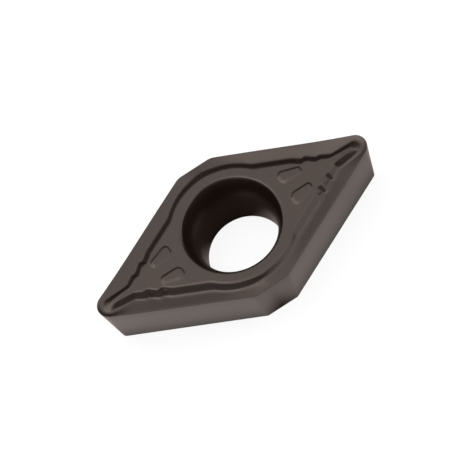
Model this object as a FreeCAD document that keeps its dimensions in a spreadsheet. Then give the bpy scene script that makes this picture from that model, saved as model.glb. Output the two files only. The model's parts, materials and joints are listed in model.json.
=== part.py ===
import FreeCAD, Part
import Sketcher
import math
import os

# Cutting insert of cemented carbide: a rhombic, single-sided turning insert with relief on its flanks,
# a screw hole, and a chip former pressed into its top.
#
# Frame: millimetres, +Z up. The hole's axis is the Z axis, the seat is the plane z = 0, and the long
# diagonal from nose to nose lies along X. The insert is alike in all four quarters of the plan.
#
# The real one is pressed from powder and sintered, and the model is built the same way: the die gives the
# tapered blank, the upper punch gives the chip former, and the core rod gives the hole.

# Driving sizes, in millimetres and degrees: word, value, what it measures.
SIZES = [
    ("inscribed_diameter", 9.525, "circle that touches the four cutting edges, at the level of the noses"),
    ("nose_angle", 55.0, "angle between the two cutting edges that meet at a nose"),
    ("nose_radius", 0.8, "radius of the nose, at its cutting edge"),
    ("relief_angle", 7.0, "how far the flanks lean inwards on their way down to the seat"),
    ("thickness", 3.97, "seat to the cutting edge at a nose"),
    ("corner_cut", 0.6, "how much of each wide corner its flat cuts off, along the short diagonal"),
    ("edge_dip", 0.12, "how far the long cutting edges lie below the noses"),
    ("corner_dip", 0.15, "how far the edge at a wide corner lies below the noses"),
    ("rise_length", 3.4, "length over which a straight cutting edge rises to its nose"),
    ("plateau_rise", 0.12, "how far the plateau round the hole stands above the noses"),
    ("groove_width", 0.865, "long cutting edge to the foot of the plateau's wall"),
    ("wall_run", 0.39, "plan width of the plateau's wall along the cutting edges"),
    ("rake_angle", 8.6, "fall of the rake face from the long cutting edges inwards"),
    ("nose_groove_width", 0.3, "cutting edge to the foot of the wall, round a nose"),
    ("nose_rake_angle", 20.0, "fall of the rake face round a nose"),
    ("corner_rise_angle", 6.0, "rise of the band between a corner flat and the plateau's wall"),
    ("foot_bend", 1.27, "along an edge from its middle to where the wall's foot turns to follow the hole"),
    ("plateau_bend", 1.42, "the same for the wall's upper edge"),
    ("ridge_tip_back", 0.98, "nose tip back to the centre of the ridge's rounded tip"),
    ("ridge_tip_radius", 0.1, "rounding of the ridge's tip"),
    ("ridge_length", 1.4, "length of the narrow ridge, from its tip's centre to its root"),
    ("ridge_half_width", 0.25, "half the ridge's width at its root"),
    ("step_two_slope", 0.5, "length over which the plateau widens from the ridge to the second step"),
    ("step_two_rise", 0.3, "how far the second step stands out beside the ridge's root"),
    ("step_two_length", 0.3, "length of the second step"),
    ("step_one_slope", 0.4, "length over which the plateau widens from the second step to the first"),
    ("step_one_rise", 0.41, "how far the first step stands out beside the second"),
    ("step_one_length", 0.5, "length of the first step"),
    ("shoulder_slope", 0.4, "length over which the plateau widens from the first step to its long side"),
    ("hole_diameter", 4.8, "screw hole, along its straight part"),
    ("sink_depth", 1.8, "depth of the screw head's curved seat below the plateau"),
    ("sink_curve_radius", 2.66, "radius of that seat's section, which swells towards the axis"),
    ("rim_rounding", 0.12, "radius of the rounded edge between that seat and the plateau"),
    ("pad_margin", 0.08, "raised pad to the root of the first step, along X"),
    ("pad_length", 1.35, "length of a raised pad along X"),
    ("pad_inner", 0.43, "long diagonal to the inner side of a raised pad"),
    ("pad_width_near", 0.87, "width of a raised pad at its side towards the hole"),
    ("pad_width_far", 0.37, "width of a raised pad at its side towards the nose"),
    ("pad_height", 0.05, "how far a pad stands above the plateau"),
    ("pad_draft", 50.0, "lean of a pad's sides from upright"),
    ("die_room", 0.3, "how far the die's blank reaches above the noses before it is pressed"),
    ("punch_room", 0.6, "how far the punch and the core rod reach above the noses"),
    ("punch_overlap", 0.25, "how far the punch's rake faces run on past the cutting edges"),
]

# Names for what a sketch numbers: the points of a line or arc, and the sketch's own axes.
START, END, CENTRE = range(1, 4)
X_AXIS, Y_AXIS = range(-1, -3, -1)

# Lengths in the sketches that follow from the driving sizes.
NOSE_CENTRE = "(sizes.inscribed_diameter / 2 - sizes.nose_radius) / sin(sizes.nose_angle / 2 * 1deg)"
CORNER_REACH = "sizes.inscribed_diameter / 2 / cos(sizes.nose_angle / 2 * 1deg) - sizes.corner_cut"
STEP_ONE_ROOT = (f"({NOSE_CENTRE} + sizes.nose_radius - sizes.ridge_tip_back - sizes.ridge_length"
                 " - sizes.step_two_slope - sizes.step_two_length"
                 " - sizes.step_one_slope - sizes.step_one_length)")
PLATEAU_TOP = "sizes.thickness + sizes.plateau_rise"


def make_sheet(doc):
    """Put every driving size in the spreadsheet, as a plain number with its word as the alias."""
    sheet = doc.addObject("Spreadsheet::Sheet", "sizes")
    for row, (word, value, note) in enumerate(SIZES, start=1):
        sheet.set(f"A{row}", word)
        sheet.set(f"B{row}", str(value))
        sheet.set(f"C{row}", note)
        sheet.setAlias(f"B{row}", word)
    doc.recompute()
    return sheet


def tangent(degrees):
    """The tangent of an angle in degrees."""
    return math.tan(math.radians(degrees))


def origin_plane(body, role):
    """One of a body's own three base planes."""
    return next(plane for plane in body.Origin.OriginFeatures if plane.Role == role)


def new_sketch(body, name, role, height=None):
    """A sketch on a base plane of its body, lifted to a height that is an expression."""
    sketch = body.newObject("Sketcher::SketchObject", name)
    sketch.AttachmentSupport = [(origin_plane(body, role), "")]
    sketch.MapMode = "FlatFace"
    if height:
        sketch.setExpression("AttachmentOffset.Base.z", height)
    return sketch


def add_line(sketch, start, end):
    """A straight line in a sketch."""
    return sketch.addGeometry(Part.LineSegment(FreeCAD.Vector(*start, 0), FreeCAD.Vector(*end, 0)))


def add_arc(sketch, centre, radius, first, last):
    """A circular arc in a sketch, between two angles in radians."""
    circle = Part.Circle(FreeCAD.Vector(*centre, 0), FreeCAD.Vector(0, 0, 1), radius)
    return sketch.addGeometry(Part.ArcOfCircle(circle, first, last))


def join(sketch, lines, closed=False):
    """Join each line's end to the next one's start."""
    following = list(lines[1:]) + ([lines[0]] if closed else [])
    for first, second in zip(lines, following):
        sketch.addConstraint(Sketcher.Constraint("Coincident", first, END, second, START))


def name_size(sketch, constraint, name, expression):
    """Add a dimension to a sketch, name it and bind it to the sheet."""
    index = sketch.addConstraint(constraint)
    sketch.renameConstraint(index, name)
    sketch.setExpression(f"Constraints.{name}", expression)


class Plan:
    """Plan-view points of the first quarter, and the heights of its cutting edge and groove."""

    def __init__(self, sheet):
        self.sheet = sheet
        self.lean = math.radians(sheet.nose_angle / 2)
        self.reach = sheet.inscribed_diameter / 2
        self.corner_reach = self.reach / math.cos(self.lean) - sheet.corner_cut
        self.corner_end = (self.reach - self.corner_reach * math.cos(self.lean)) / math.sin(self.lean)
        self.nose_centre = (self.reach - sheet.nose_radius) / math.sin(self.lean)
        self.nose_tip = self.nose_centre + sheet.nose_radius
        self.edge_end = self.nose_centre * math.cos(self.lean)
        self.plateau_top = sheet.thickness + sheet.plateau_rise
        self.corner_height = sheet.thickness - sheet.corner_dip

    def beside_edge(self, along, inset):
        """The point 'along' the cutting edge from the foot of the axis on it, and 'inset' inside it."""
        out = self.reach - inset
        x = out * math.sin(self.lean) + along * math.cos(self.lean)
        y = out * math.cos(self.lean) - along * math.sin(self.lean)
        return x, y

    def along_edge(self, point):
        """How far along the cutting edge the foot of a point lies."""
        return point[0] * math.cos(self.lean) - point[1] * math.sin(self.lean)

    def edge_height(self, along):
        """Height of the cutting edge: level, then rising with the square of the way to the nose."""
        sheet = self.sheet
        share = max(0.0, 1 - (self.edge_end - along) / sheet.rise_length)
        return sheet.thickness - sheet.edge_dip * (1 - share ** 2)

    def foot_height(self, along):
        """Height of the foot of the plateau's wall, below the cutting edge by the rake's fall."""
        return self.edge_height(along) - self.sheet.groove_width * tangent(self.sheet.rake_angle)

    def step_points(self):
        """The plateau's shoulder, its two steps and the ridge's root, in order towards the nose."""
        sheet = self.sheet
        root = self.nose_tip - sheet.ridge_tip_back - sheet.ridge_length
        width = sheet.ridge_half_width
        points = [(root, width)]
        for slope, rise, length in ((sheet.step_two_slope, sheet.step_two_rise, sheet.step_two_length),
                                    (sheet.step_one_slope, sheet.step_one_rise, sheet.step_one_length)):
            width += rise
            end = root - slope
            root = end - length
            points = [(root, width), (end, width)] + points
        inset = sheet.groove_width + sheet.wall_run
        shoulder = root - sheet.shoulder_slope
        line_y = ((self.reach - inset) - shoulder * math.sin(self.lean)) / math.cos(self.lean)
        return [(shoulder, line_y)] + points

    def step_places(self):
        """Where those points lie along the cutting edge."""
        return [self.along_edge(point) for point in self.step_points()]


def pairs(points):
    """Each point with the one after it."""
    return [list(pair) for pair in zip(points, points[1:])]


def lifted(point, height):
    """A plan point with its height."""
    return point[0], point[1], height


def edge_of(points, flip_x, flip_y, backwards):
    """A straight or, through three points, a circular edge, mirrored into its quarter of the plan."""
    placed = [FreeCAD.Vector(flip_x * x, flip_y * y, z) for x, y, z in points]
    if backwards:
        placed.reverse()
    if len(placed) == 3:
        return Part.Arc(*placed).toShape()
    return Part.LineSegment(*placed).toShape()


def closed_loop(quarter):
    """The closed wire made of a quarter's runs and their three mirror images."""
    edges = [edge_of(run, 1, 1, False) for run in quarter]
    edges += [edge_of(run, 1, -1, True) for run in reversed(quarter)]
    edges += [edge_of(run, -1, -1, False) for run in quarter]
    edges += [edge_of(run, -1, 1, True) for run in reversed(quarter)]
    return Part.Wire(edges)


def corner_arcs(plan, bend, inset, heights):
    """Two arcs round the axis at a wide corner: over its flat, then on to the line along the edge.

    The line lies 'inset' inside the edge, and the arcs meet it 'bend' along the edge. Their heights run
    evenly from the first of the two heights to the second.
    """
    x, y = plan.beside_edge(bend, inset)
    radius = math.hypot(x, y)
    middle = math.pi / 2
    flat_end = math.atan2(plan.corner_reach, plan.corner_end)
    last = math.atan2(y, x)
    runs = []
    for first, second in ((middle, flat_end), (flat_end, last)):
        run = []
        for turn in (first, (first + second) / 2, second):
            share = (middle - turn) / (middle - last)
            height = heights[0] + share * (heights[1] - heights[0])
            run.append((radius * math.cos(turn), radius * math.sin(turn), height))
        runs.append(run)
    return runs


def nose_arc(plan, centre_x, radius, height):
    """The quarter's half of a round end on the long diagonal."""
    side = math.pi / 2 - plan.lean
    turns = (side, side / 2, 0.0)
    return [lifted((centre_x + radius * math.cos(turn), radius * math.sin(turn)), height)
            for turn in turns]


def plateau_edge(plan):
    """Quarter outline of the plateau, all at one height."""
    sheet = plan.sheet
    top = plan.plateau_top
    inset = sheet.groove_width + sheet.wall_run
    arcs = corner_arcs(plan, sheet.plateau_bend, inset, (top, top))
    tip = nose_arc(plan, plan.nose_tip - sheet.ridge_tip_back, sheet.ridge_tip_radius, top)
    steps = [lifted(point, top) for point in plan.step_points()]
    return arcs + pairs([arcs[-1][-1]] + steps + [tip[0]]) + [tip]


def wall_foot(plan):
    """Quarter outline of the foot of the plateau's wall, in step with the plateau's edge."""
    sheet = plan.sheet
    width = sheet.groove_width
    band = plan.corner_reach - math.hypot(plan.reach - width, sheet.foot_bend)
    corner_foot = plan.corner_height + band * tangent(sheet.corner_rise_angle)
    arcs = corner_arcs(plan, sheet.foot_bend, width, (corner_foot, plan.foot_height(sheet.foot_bend)))
    line = [lifted(plan.beside_edge(along, width), plan.foot_height(along))
            for along in plan.step_places()]
    nose_height = sheet.thickness - sheet.nose_groove_width * tangent(sheet.nose_rake_angle)
    tip = nose_arc(plan, plan.nose_centre, sheet.nose_radius - sheet.nose_groove_width, nose_height)
    return arcs + pairs([arcs[-1][-1]] + line + [tip[0]]) + [tip]


def punch_brim(plan):
    """Quarter outline of the punch outside the insert, where its rake faces run on past the edges."""
    sheet = plan.sheet
    over = sheet.punch_overlap
    fall = over * tangent(sheet.rake_angle)
    corner_low = plan.corner_height - over * tangent(sheet.corner_rise_angle)
    nose_high = sheet.thickness + over * tangent(sheet.nose_rake_angle)
    out = plan.corner_reach + over
    flat_end = ((plan.reach + over - out * math.cos(plan.lean)) / math.sin(plan.lean), out)
    flat = [lifted((0.0, out), corner_low), lifted(flat_end, corner_low)]
    line = [lifted(plan.beside_edge(along, -over), plan.edge_height(along) + fall)
            for along in [sheet.foot_bend] + plan.step_places()]
    tip = nose_arc(plan, plan.nose_centre, sheet.nose_radius + over, nose_high)
    return [flat, [flat[1], line[0]]] + pairs(line + [tip[0]]) + [tip]


def punch_shape(plan):
    """The upper punch: flat over the plateau, then its wall and its rake faces, and closed above."""
    top = plan.sheet.thickness + plan.sheet.punch_room
    plateau = closed_loop(plateau_edge(plan))
    foot = closed_loop(wall_foot(plan))
    brim_runs = punch_brim(plan)
    brim = closed_loop(brim_runs)
    roof = closed_loop([[lifted(point, top) for point in run] for run in brim_runs])
    faces = [Part.Face(plateau), Part.Face(roof)]
    for inner, outer in ((plateau, foot), (foot, brim), (brim, roof)):
        faces += Part.makeRuledSurface(inner, outer).Faces
    shell = Part.makeShell(faces)
    shell.sewShape()
    return Part.makeSolid(shell)


def die_outline(body, plan):
    """Sketch of the outline at the level of the noses: four flanks, two round noses, two flats."""
    sketch = new_sketch(body, "die_outline", "XY_Plane")
    sheet = plan.sheet
    side = math.pi / 2 - plan.lean
    centre = plan.nose_centre
    flat = plan.corner_end
    nose_x, nose_y = plan.beside_edge(plan.edge_end, 0.0)
    corners = [(nose_x, nose_y), (flat, plan.corner_reach), (-flat, plan.corner_reach), (-nose_x, nose_y)]
    lines = [add_line(sketch, (start[0], flip * start[1]), (end[0], flip * end[1]))
             for flip in (1, -1) for start, end in pairs(corners)]
    upper_right, upper_flat, upper_left, lower_right, lower_flat, lower_left = lines
    right = add_arc(sketch, (centre, 0.0), sheet.nose_radius, -side, side)
    left = add_arc(sketch, (-centre, 0.0), sheet.nose_radius, math.pi - side, math.pi + side)
    add = sketch.addConstraint
    add(Sketcher.Constraint("Tangent", upper_right, START, right, END))
    add(Sketcher.Constraint("Tangent", lower_right, START, right, START))
    add(Sketcher.Constraint("Tangent", upper_left, END, left, START))
    add(Sketcher.Constraint("Tangent", lower_left, END, left, END))
    join(sketch, (upper_right, upper_flat, upper_left))
    join(sketch, (lower_right, lower_flat, lower_left))
    add(Sketcher.Constraint("PointOnObject", right, CENTRE, X_AXIS))
    add(Sketcher.Constraint("Symmetric", right, CENTRE, left, CENTRE, Y_AXIS))
    add(Sketcher.Constraint("Equal", right, left))
    add(Sketcher.Constraint("Symmetric", upper_flat, START, upper_flat, END, Y_AXIS))
    add(Sketcher.Constraint("Symmetric", upper_flat, START, lower_flat, START, X_AXIS))
    add(Sketcher.Constraint("Symmetric", upper_flat, END, lower_flat, END, X_AXIS))
    name_size(sketch, Sketcher.Constraint("Radius", right, sheet.nose_radius), "nose_radius",
              "sizes.nose_radius")
    name_size(sketch, Sketcher.Constraint("Distance", X_AXIS, START, upper_right, plan.reach), "reach",
              "sizes.inscribed_diameter / 2")
    name_size(sketch, Sketcher.Constraint("DistanceX", X_AXIS, START, right, CENTRE, centre),
              "nose_centre", NOSE_CENTRE)
    name_size(sketch, Sketcher.Constraint("DistanceY", X_AXIS, START, upper_flat, START,
                                          plan.corner_reach), "corner_reach", CORNER_REACH)
    return sketch


def die_blank(doc, plan):
    """The blank as the die shapes it: the outline padded, its sides drafted in towards the seat."""
    body = doc.addObject("PartDesign::Body", "die_blank")
    outline = die_outline(body, plan)
    pad = body.newObject("PartDesign::Pad", "die_fill")
    pad.Profile = outline
    pad.setExpression("Length", "sizes.thickness + sizes.die_room")
    level = body.newObject("PartDesign::Plane", "nose_level")
    level.AttachmentSupport = [(origin_plane(body, "XY_Plane"), "")]
    level.MapMode = "FlatFace"
    level.setExpression("AttachmentOffset.Base.z", "sizes.thickness")
    doc.recompute()
    sides = [f"Face{index}" for index, face in enumerate(pad.Shape.Faces, start=1)
             if abs(face.normalAt(0, 0).z) < 0.5]
    draft = body.newObject("PartDesign::Draft", "relief")
    draft.Base = (pad, sides)
    draft.NeutralPlane = (level, [""])
    draft.Reversed = True
    draft.setExpression("Angle", "sizes.relief_angle")
    return body


def chip_former(doc, blank, plan):
    """The blank with the punch's form pressed into its top."""
    punch = doc.addObject("Part::Feature", "upper_punch")
    punch.Shape = punch_shape(plan)
    pressed = doc.addObject("Part::Cut", "pressed_blank")
    pressed.Base = blank
    pressed.Tool = punch
    doc.recompute()
    return pressed


def raised_pads(body, plan):
    """Four low pads on the plateau, one in each quarter: a sketch of one, padded and mirrored twice."""
    sheet = plan.sheet
    sketch = new_sketch(body, "pad_outline", "XY_Plane", PLATEAU_TOP)
    step_one_root = plan.step_points()[1][0]
    far = step_one_root - sheet.pad_margin
    near = far - sheet.pad_length
    inner = sheet.pad_inner
    corners = [(near, inner), (far, inner), (far, inner + sheet.pad_width_far),
               (near, inner + sheet.pad_width_near)]
    sides = [add_line(sketch, start, end) for start, end in pairs(corners + corners[:1])]
    inner_side, far_side, outer_side, near_side = sides
    join(sketch, sides, closed=True)
    add = sketch.addConstraint
    add(Sketcher.Constraint("Horizontal", inner_side))
    add(Sketcher.Constraint("Vertical", far_side))
    add(Sketcher.Constraint("Vertical", near_side))
    name_size(sketch, Sketcher.Constraint("DistanceX", X_AXIS, START, inner_side, END, far), "far",
              f"{STEP_ONE_ROOT} - sizes.pad_margin")
    name_size(sketch, Sketcher.Constraint("DistanceY", X_AXIS, START, inner_side, START, inner), "inner",
              "sizes.pad_inner")
    name_size(sketch, Sketcher.Constraint("DistanceX", inner_side, START, inner_side, END, far - near),
              "length", "sizes.pad_length")
    name_size(sketch, Sketcher.Constraint("DistanceY", far_side, START, far_side, END,
                                          sheet.pad_width_far),
              "width_far", "sizes.pad_width_far")
    name_size(sketch, Sketcher.Constraint("DistanceY", near_side, END, near_side, START,
                                          sheet.pad_width_near), "width_near", "sizes.pad_width_near")
    pad = body.newObject("PartDesign::Pad", "first_pad")
    pad.Profile = sketch
    pad.setExpression("Length", "sizes.pad_height")
    pad.setExpression("TaperAngle", "-sizes.pad_draft")
    mirrors = []
    for name, axis in (("across_long_diagonal", "H_Axis"), ("across_short_diagonal", "V_Axis")):
        mirror = body.newObject("PartDesign::Mirrored", name)
        mirror.MirrorPlane = (sketch, [axis])
        mirrors.append(mirror)
    pads = body.newObject("PartDesign::MultiTransform", "all_pads")
    pads.Originals = [pad]
    pads.Transformations = mirrors
    body.Tip = pads


def screw_hole(body, plan):
    """The hole: straight from the seat up, then a curved seat for the screw's head, cut as a groove.

    The seat's section is an arc that swells towards the axis and leaves the straight part smoothly. A
    small arc takes over from it and ends level with the plateau.
    """
    sheet = plan.sheet
    sketch = new_sketch(body, "core_rod", "XZ_Plane")
    radius = sheet.hole_diameter / 2
    top = plan.plateau_top
    over = sheet.punch_room
    bow = sheet.sink_curve_radius
    small = sheet.rim_rounding
    bow_x, bow_z = radius + bow, top - sheet.sink_depth
    small_z = top - small
    small_x = bow_x - math.sqrt((bow - small) ** 2 - (small_z - bow_z) ** 2)
    turn = math.atan2(small_z - bow_z, small_x - bow_x)
    below = add_line(sketch, (0.0, -over), (radius, -over))
    wall = add_line(sketch, (radius, -over), (radius, bow_z))
    seat = add_arc(sketch, (bow_x, bow_z), bow, turn, math.pi)
    rim = add_arc(sketch, (small_x, small_z), small, math.pi / 2, turn)
    rise = add_line(sketch, (small_x, top), (small_x, top + over))
    roof = add_line(sketch, (small_x, top + over), (0.0, top + over))
    axis = add_line(sketch, (0.0, top + over), (0.0, -over))
    join(sketch, (rise, roof, axis, below, wall))
    add = sketch.addConstraint
    add(Sketcher.Constraint("Tangent", wall, END, seat, END))
    add(Sketcher.Constraint("Tangent", seat, START, rim, END))
    add(Sketcher.Constraint("Coincident", rim, START, rise, START))
    add(Sketcher.Constraint("Vertical", rim, START, rim, CENTRE))
    add(Sketcher.Constraint("PointOnObject", below, START, Y_AXIS))
    for line in (wall, rise, axis):
        add(Sketcher.Constraint("Vertical", line))
    for line in (below, roof):
        add(Sketcher.Constraint("Horizontal", line))
    name_size(sketch, Sketcher.Constraint("DistanceX", X_AXIS, START, wall, START, radius), "radius",
              "sizes.hole_diameter / 2")
    name_size(sketch, Sketcher.Constraint("DistanceY", below, END, X_AXIS, START, over), "below",
              "sizes.punch_room")
    name_size(sketch, Sketcher.Constraint("DistanceY", X_AXIS, START, wall, END, bow_z), "seat_start",
              f"{PLATEAU_TOP} - sizes.sink_depth")
    name_size(sketch, Sketcher.Constraint("Radius", seat, bow), "seat_curve", "sizes.sink_curve_radius")
    name_size(sketch, Sketcher.Constraint("Radius", rim, small), "rim_rounding", "sizes.rim_rounding")
    name_size(sketch, Sketcher.Constraint("DistanceY", X_AXIS, START, rise, START, top), "rim_height",
              PLATEAU_TOP)
    name_size(sketch, Sketcher.Constraint("DistanceY", rise, START, rise, END, over), "above",
              "sizes.punch_room")
    groove = body.newObject("PartDesign::Groove", "screw_hole")
    groove.Profile = sketch
    groove.ReferenceAxis = (sketch, ["V_Axis"])
    groove.Angle = 360


def check(doc):
    """Stop if any object of the document failed or has no sound shape."""
    for thing in doc.Objects:
        broken = [state for state in thing.State if state in ("Invalid", "Error")]
        if broken:
            raise RuntimeError(f"{thing.Name} is {broken[0]}")
    for thing in doc.findObjects("PartDesign::Body") + doc.findObjects("Part::Cut"):
        if thing.Shape.isNull() or not thing.Shape.isValid():
            raise RuntimeError(f"{thing.Name} has no sound shape")


def main():
    doc = FreeCAD.newDocument("insert")
    plan = Plan(make_sheet(doc))
    blank = die_blank(doc, plan)
    doc.recompute()
    pressed = chip_former(doc, blank, plan)
    insert = doc.addObject("PartDesign::Body", "insert_body")
    insert.Label = "insert_body"
    insert.BaseFeature = pressed
    raised_pads(insert, plan)
    doc.recompute()
    screw_hole(insert, plan)
    doc.recompute()
    check(doc)
    os.makedirs("parts", exist_ok=True)
    insert.Shape.exportStep(f"parts/{insert.Label}.step")
    box = insert.Shape.BoundBox
    print(f"{insert.Label}: {len(insert.Shape.Solids)} solid, {insert.Shape.Volume:.2f} mm3, "
          f"{box.XLength:.2f} x {box.YLength:.2f} x {box.ZLength:.2f} mm")


main()
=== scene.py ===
# %% [markdown]
# This file draws a cutting insert: a small rhombic plate of coated cemented carbide that is screwed on to
# a turning tool. Its shape was settled in a CAD model, which comes in here as a fixed frame. We could
# paint that frame as it is, but its edges are perfectly sharp and its facets are coarse. A pressed and
# sintered part has soft edges that catch the light, so we model the same shape again with them in place.

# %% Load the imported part
import json
import math

import bpy
import numpy as np
from mathutils import Matrix, Vector


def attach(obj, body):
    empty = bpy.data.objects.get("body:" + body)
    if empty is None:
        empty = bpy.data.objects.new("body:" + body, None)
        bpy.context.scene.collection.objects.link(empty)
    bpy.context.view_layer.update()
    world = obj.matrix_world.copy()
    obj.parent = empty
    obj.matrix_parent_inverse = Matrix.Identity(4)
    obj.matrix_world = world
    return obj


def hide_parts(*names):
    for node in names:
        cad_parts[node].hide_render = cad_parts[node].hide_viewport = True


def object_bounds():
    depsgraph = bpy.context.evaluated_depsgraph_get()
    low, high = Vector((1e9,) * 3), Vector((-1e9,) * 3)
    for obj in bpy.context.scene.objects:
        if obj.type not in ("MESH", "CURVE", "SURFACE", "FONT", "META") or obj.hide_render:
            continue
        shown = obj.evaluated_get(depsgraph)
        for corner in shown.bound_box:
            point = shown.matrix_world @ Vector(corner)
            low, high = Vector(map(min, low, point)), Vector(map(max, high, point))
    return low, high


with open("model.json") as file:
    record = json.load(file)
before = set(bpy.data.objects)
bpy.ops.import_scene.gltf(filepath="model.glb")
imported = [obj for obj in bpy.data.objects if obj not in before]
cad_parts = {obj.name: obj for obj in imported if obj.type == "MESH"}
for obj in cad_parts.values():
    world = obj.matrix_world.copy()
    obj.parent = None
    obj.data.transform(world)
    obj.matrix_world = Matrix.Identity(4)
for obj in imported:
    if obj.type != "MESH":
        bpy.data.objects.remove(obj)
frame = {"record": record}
cad_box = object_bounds()
MM = 0.001
print("CAD box in mm:", [round(value / MM, 3) for corner in cad_box for value in corner])

# %% [markdown]
# The insert is alike in all four quarters of its plan, so every size below is given for one quarter, from
# the nose on the long diagonal (X) round to the wide corner on the short diagonal (Y). The sizes are
# millimetres, and those that the frame can tell us are read from it, so that the two models can't part.

# %% The insert's sizes
PAD_HEIGHT = 0.05
PLATEAU_RISE = 0.12
NOSE_ANGLE = 55.0
NOSE_RADIUS = 0.8
RELIEF_ANGLE = 7.0
screw_mount = next(mount for mount in frame["record"]["mounts"] if mount["name"] == "screw_hole")
HOLE_RADIUS = screw_mount["dims"]["r_mm"]
NOSE_TIP = cad_box[1].x / MM
PLATEAU_TOP = cad_box[1].z / MM - PAD_HEIGHT
NOSE_HEIGHT = PLATEAU_TOP - PLATEAU_RISE
LEAN = math.radians(NOSE_ANGLE / 2)
RELIEF = math.tan(math.radians(RELIEF_ANGLE))
NOSE_CENTRE = NOSE_TIP - NOSE_RADIUS
EDGE_REACH = NOSE_RADIUS + NOSE_CENTRE * math.sin(LEAN)
EDGE_END = NOSE_CENTRE * math.cos(LEAN)
CORNER_CUT = 0.6
CORNER_REACH = EDGE_REACH / math.cos(LEAN) - CORNER_CUT
print(f"edges {EDGE_REACH:.4f} from the axis, noses {NOSE_HEIGHT:.3f} high, wide corners {CORNER_REACH:.3f}")

# %% [markdown]
# A quarter has eleven stations, places where its outlines turn: the nose, the narrow ridge behind it, two
# steps that the chips ride over, the shoulder, and the wide corner. We spread columns of vertices between
# the stations, closely where a shape is small and thinly where it is straight. Every outline is then a
# list of points at the stations, carried to all the columns by interpolation.

# %% Stations and columns
(NOSE, NOSE_SIDE, RIDGE_ROOT, STEP_TWO_END, STEP_TWO_ROOT, STEP_ONE_END, STEP_ONE_ROOT, SHOULDER,
 BEND, CORNER, CORNER_MIDDLE) = stations = range(11)
COLUMNS_BETWEEN = (18, 26, 28, 16, 24, 20, 24, 26, 36, 20)


def four_quarters(quarter, flip_x=1.0, flip_y=1.0):
    """The whole way round from a quarter's columns: the quarter, then its three mirror images."""
    second = quarter[-2::-1] * flip_x
    third = quarter[1:] * flip_x * flip_y
    fourth = quarter[-2:0:-1] * flip_y
    return np.concatenate([quarter, second, third, fourth])


def mirrored_round(quarter):
    """The whole way round for points: x changes its sign in two of the quarters, and so does y."""
    return four_quarters(quarter, np.array([-1.0, 1.0, 1.0]), np.array([1.0, -1.0, 1.0]))


quarter_place = np.concatenate([start + np.arange(count) / count
                                for start, count in enumerate(COLUMNS_BETWEEN)] + [[CORNER_MIDDLE]])
place = four_quarters(quarter_place)


def at_columns(values, columns=place):
    """A number given at the eleven stations, at every column: straight between stations."""
    return np.interp(columns, stations, values)


print(f"{len(place)} columns round the insert")

# %% [markdown]
# Now the outlines themselves. Three of them describe the top: the plateau's edge, the foot of its wall, and
# the cutting edge. The fourth is the flank's lower edge, round the seat. Straight stretches need only their
# ends. Round stretches, at the noses and at the wide corners, turn about a centre instead.

# %% Helpers for points beside the cutting edge
def beside_edge(along, inset):
    """The plan point 'along' the cutting edge from the foot of the axis on it, and 'inset' within it.

    The edge's outward direction is (sin LEAN, cos LEAN) and its own is (cos LEAN, -sin LEAN): the point is
    (EDGE_REACH - inset) times the first and 'along' times the second.
    """
    out = EDGE_REACH - inset
    return np.array([out * math.sin(LEAN) + along * math.cos(LEAN),
                     out * math.cos(LEAN) - along * math.sin(LEAN)])


def along_edge(point):
    """How far along the cutting edge the foot of a plan point lies: its part in the edge's direction."""
    return point[0] * math.cos(LEAN) - point[1] * math.sin(LEAN)


def inset_of(point):
    """How far a plan point lies within the cutting edge: EDGE_REACH less its part square to the edge."""
    return EDGE_REACH - point[0] * math.sin(LEAN) - point[1] * math.cos(LEAN)


def round_end(centre_x, radius):
    """The two ends of a nose's arc: on the long diagonal, and where the arc runs on into the edge.

    Each is the centre plus the radius times (cos, sin) of the angle that the arc's normal has there.
    """
    turns = [0.0, math.pi / 2 - LEAN]
    return [np.array([centre_x + radius * math.cos(turn), radius * math.sin(turn)]) for turn in turns]


print("the cutting edge passes the axis at", beside_edge(0.0, 0.0).round(3))

# %% [markdown]
# An outline becomes a line of columns in one function. It could hold real arcs between its points, but
# then each kind of stretch would need its own code. Instead, the round stretches are interpolated too,
# in angle and radius about their centre, which gives an arc wherever the two ends have the same radius.

# %% An outline from its eleven points
def plan_outline(points, nose_centre, corner_arc):
    """An outline at every column of the quarter, from its eleven points.

    Straight between the points. The first run turns about the nose's centre, and with corner_arc the
    last two turn about the hole's axis: there the angle and the radius are interpolated, not x and y.
    """
    points = np.array(points)
    outline = np.stack([at_columns(points[:, axis], quarter_place) for axis in (0, 1)], axis=1)
    arcs = [(nose_centre, quarter_place <= NOSE_SIDE)]
    if corner_arc:
        arcs.append((0.0, quarter_place >= BEND))
    for centre_x, part in arcs:
        away = points - [centre_x, 0.0]
        turn = at_columns(np.arctan2(away[:, 1], away[:, 0]), quarter_place[part])
        radius = at_columns(np.hypot(away[:, 0], away[:, 1]), quarter_place[part])
        outline[part] = np.stack([centre_x + radius * np.cos(turn), radius * np.sin(turn)], axis=1)
    return outline


flat_end = np.array([(EDGE_REACH - CORNER_REACH * math.cos(LEAN)) / math.sin(LEAN), CORNER_REACH])


def round_the_hole(along, inset):
    """The last three points of an outline that turns round the hole's axis at the wide corner.

    The first lies beside the cutting edge. The others have its distance from the axis: one stands in
    line with the end of the corner's flat, one on the short diagonal.
    """
    bend = beside_edge(along, inset)
    radius = math.hypot(*bend)
    flat_turn = math.atan2(flat_end[1], flat_end[0])
    return [bend, radius * np.array([math.cos(flat_turn), math.sin(flat_turn)]), np.array([0.0, radius])]


print(f"each wide corner's flat is {2 * flat_end[0]:.3f} mm long")

# %% [markdown]
# The plateau's edge runs from the ridge's rounded tip over two steps to its long side. We work its points
# out backwards from the nose's tip, one size after the other, as a toolmaker would write them beside a
# drawing of the punch. So one step can change and all that lies behind it follows.

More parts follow.
